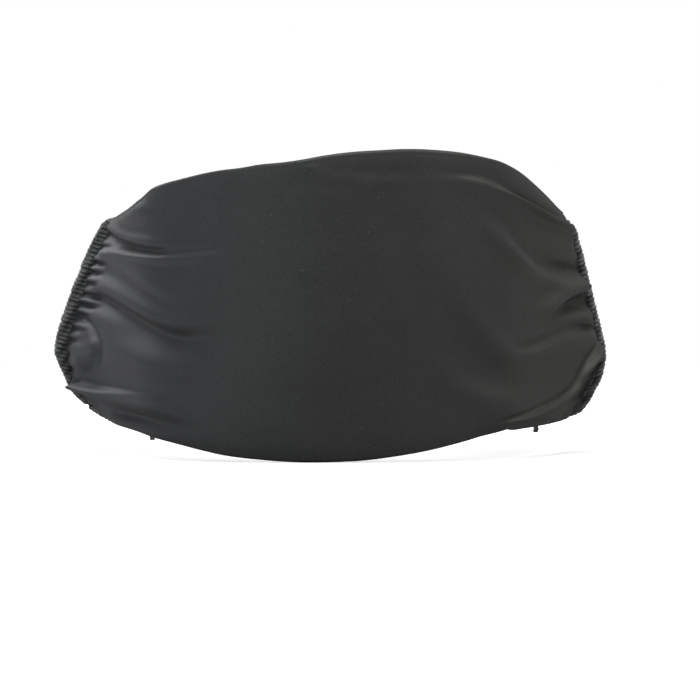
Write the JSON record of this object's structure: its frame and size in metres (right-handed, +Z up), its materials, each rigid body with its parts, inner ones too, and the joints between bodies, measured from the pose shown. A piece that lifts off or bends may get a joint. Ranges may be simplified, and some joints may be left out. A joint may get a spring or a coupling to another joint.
{
  "type": "sleep eye mask",
  "caption": "Padded black sleep eye mask with a very wide two-layer stretch band, gathered overlocked side seams and a nose flap.",
  "frame": {"origin": "under the middle of the mask: centre of the bounding box seen from above, on the plane of its lowest edge", "axes": "+Z up as worn, -Y the way the wearer faces, so the padded front is at -Y and the band closes the loop at +Y; +X is the wearer's left"},
  "size_m": [0.2372, 0.216, 0.116],
  "materials": {
    "satin_jersey": "satin",
    "satin_jersey_inner": "satin",
    "blackout_cloth": "matte",
    "pad_foam": "matte",
    "lining_knit": "matte",
    "overlock_thread": "satin",
    "needle_thread": "satin",
    "label_ribbon": "satin"
  },
  "bodies": {
    "front_mask": {"front_outer_panel": "satin_jersey", "blackout_interlining": "blackout_cloth", "front_foam_pad": "pad_foam", "front_inner_lining": "lining_knit", "front_edge_overlock": "overlock_thread", "left_side_overlock": "overlock_thread", "right_side_overlock": "overlock_thread", "left_seam_thread": "needle_thread", "right_seam_thread": "needle_thread"},
    "nose_flap": {"nose_flap_cover": "lining_knit", "nose_flap_foam": "pad_foam", "nose_flap_stitching": "needle_thread"},
    "care_label": {"care_label": "label_ribbon"},
    "rear_band": {"rear_band_outer_layer": "satin_jersey", "rear_band_inner_layer": "satin_jersey_inner"}
  },
  "joints": [
    {"name": "band_stretch", "type": "slide", "parent": "front_mask", "child": "rear_band", "axis": [0, 1, 0], "range_m": [-0.02, 0.03], "deforming": ["rear_band_outer_layer", "rear_band_inner_layer"]},
    {"name": "nose_flap_flex", "type": "hinge", "parent": "front_mask", "child": "nose_flap", "pos_m": [0, -0.0955, 0.0545], "axis": [1, 0, 0], "range_deg": [-6, 40]},
    {"name": "care_label_flip", "type": "hinge", "parent": "front_mask", "child": "care_label", "pos_m": [-0.098, -0.0749, 0.073], "axis": [0, 0, 1], "range_deg": [0, 75]}
  ]
}
